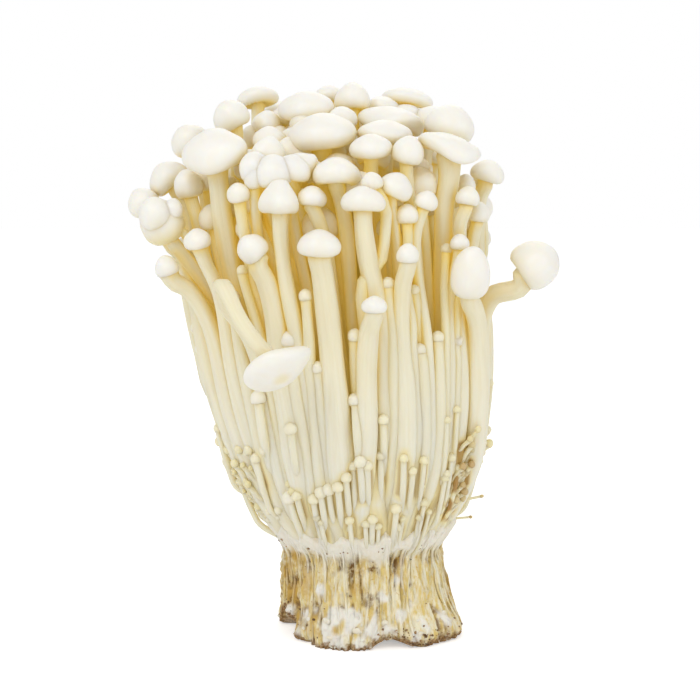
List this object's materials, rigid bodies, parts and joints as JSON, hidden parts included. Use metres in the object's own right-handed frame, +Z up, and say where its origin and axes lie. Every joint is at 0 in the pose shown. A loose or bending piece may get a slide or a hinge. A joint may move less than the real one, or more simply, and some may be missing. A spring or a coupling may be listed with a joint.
{
  "type": "enoki mushroom bunch",
  "caption": "Bunch of enoki mushrooms standing on its cut root foot, with slender stems that fan out under small domed caps.",
  "frame": {"origin": "centre of the flat face that the root foot was cut to", "axes": "+Z up along the stems, from the cut foot to the crown of caps; the front of the bunch faces -Y"},
  "size_m": [0.0961, 0.0825, 0.1281],
  "materials": {
    "mushroom_flesh": "satin, moist and slightly translucent flesh",
    "root_foot": "rough, matted stem bases with brown crumbs"
  },
  "bodies": {
    "root": {"root_foot": "root_foot", "middle_clump": "mushroom_flesh", "back_crown_1_mushroom": "mushroom_flesh", "back_crown_2_mushroom": "mushroom_flesh", "back_outer_1_mushroom": "mushroom_flesh", "back_outer_2_mushroom": "mushroom_flesh", "back_outer_3_mushroom": "mushroom_flesh", "back_outer_4_mushroom": "mushroom_flesh", "back_outer_5_mushroom": "mushroom_flesh", "back_outer_6_mushroom": "mushroom_flesh", "back_outer_7_mushroom": "mushroom_flesh", "back_upper_1_mushroom": "mushroom_flesh", "back_upper_2_mushroom": "mushroom_flesh", "back_upper_3_mushroom": "mushroom_flesh", "back_upper_4_mushroom": "mushroom_flesh", "back_upper_5_mushroom": "mushroom_flesh", "bent_over_mushroom": "mushroom_flesh", "big_left_mushroom": "mushroom_flesh", "crown_back_left_mushroom": "mushroom_flesh", "crown_back_right_mushroom": "mushroom_flesh", "crown_big_right_mushroom": "mushroom_flesh", "crown_brim_mushroom": "mushroom_flesh", "crown_left_dome_mushroom": "mushroom_flesh", "crown_left_egg_mushroom": "mushroom_flesh", "crown_left_inner_mushroom": "mushroom_flesh", "crown_mid_front_mushroom": "mushroom_flesh", "crown_mid_right_mushroom": "mushroom_flesh", "crown_mid_side_mushroom": "mushroom_flesh", "crown_top_back_mushroom": "mushroom_flesh", "crown_top_left_mushroom": "mushroom_flesh", "crown_top_mushroom": "mushroom_flesh", "crown_wide_left_mushroom": "mushroom_flesh", "crown_wide_right_mushroom": "mushroom_flesh", "front_arched_mushroom": "mushroom_flesh", "front_behind_mushroom": "mushroom_flesh", "front_conical_mushroom": "mushroom_flesh", "front_hooded_mushroom": "mushroom_flesh", "front_nodding_mushroom": "mushroom_flesh", "front_plain_mushroom": "mushroom_flesh", "front_stout_mushroom": "mushroom_flesh", "front_tall_mushroom": "mushroom_flesh", "front_thick_mushroom": "mushroom_flesh", "front_tucked_mushroom": "mushroom_flesh", "left_bulb_mushroom": "mushroom_flesh", "left_inner_mushroom": "mushroom_flesh", "left_knob_mushroom": "mushroom_flesh", "left_low_mushroom": "mushroom_flesh", "left_small_mushroom": "mushroom_flesh", "left_tilted_mushroom": "mushroom_flesh", "lumpy_left_mushroom": "mushroom_flesh", "lumpy_middle_mushroom": "mushroom_flesh", "lumpy_right_mushroom": "mushroom_flesh", "right_close_mushroom": "mushroom_flesh", "right_egg_mushroom": "mushroom_flesh", "right_hidden_mushroom": "mushroom_flesh", "right_leaning_mushroom": "mushroom_flesh", "right_middle_mushroom": "mushroom_flesh", "right_round_mushroom": "mushroom_flesh", "right_upper_mushroom": "mushroom_flesh", "shoulder_left_mushroom": "mushroom_flesh"}
  },
  "joints": []
}
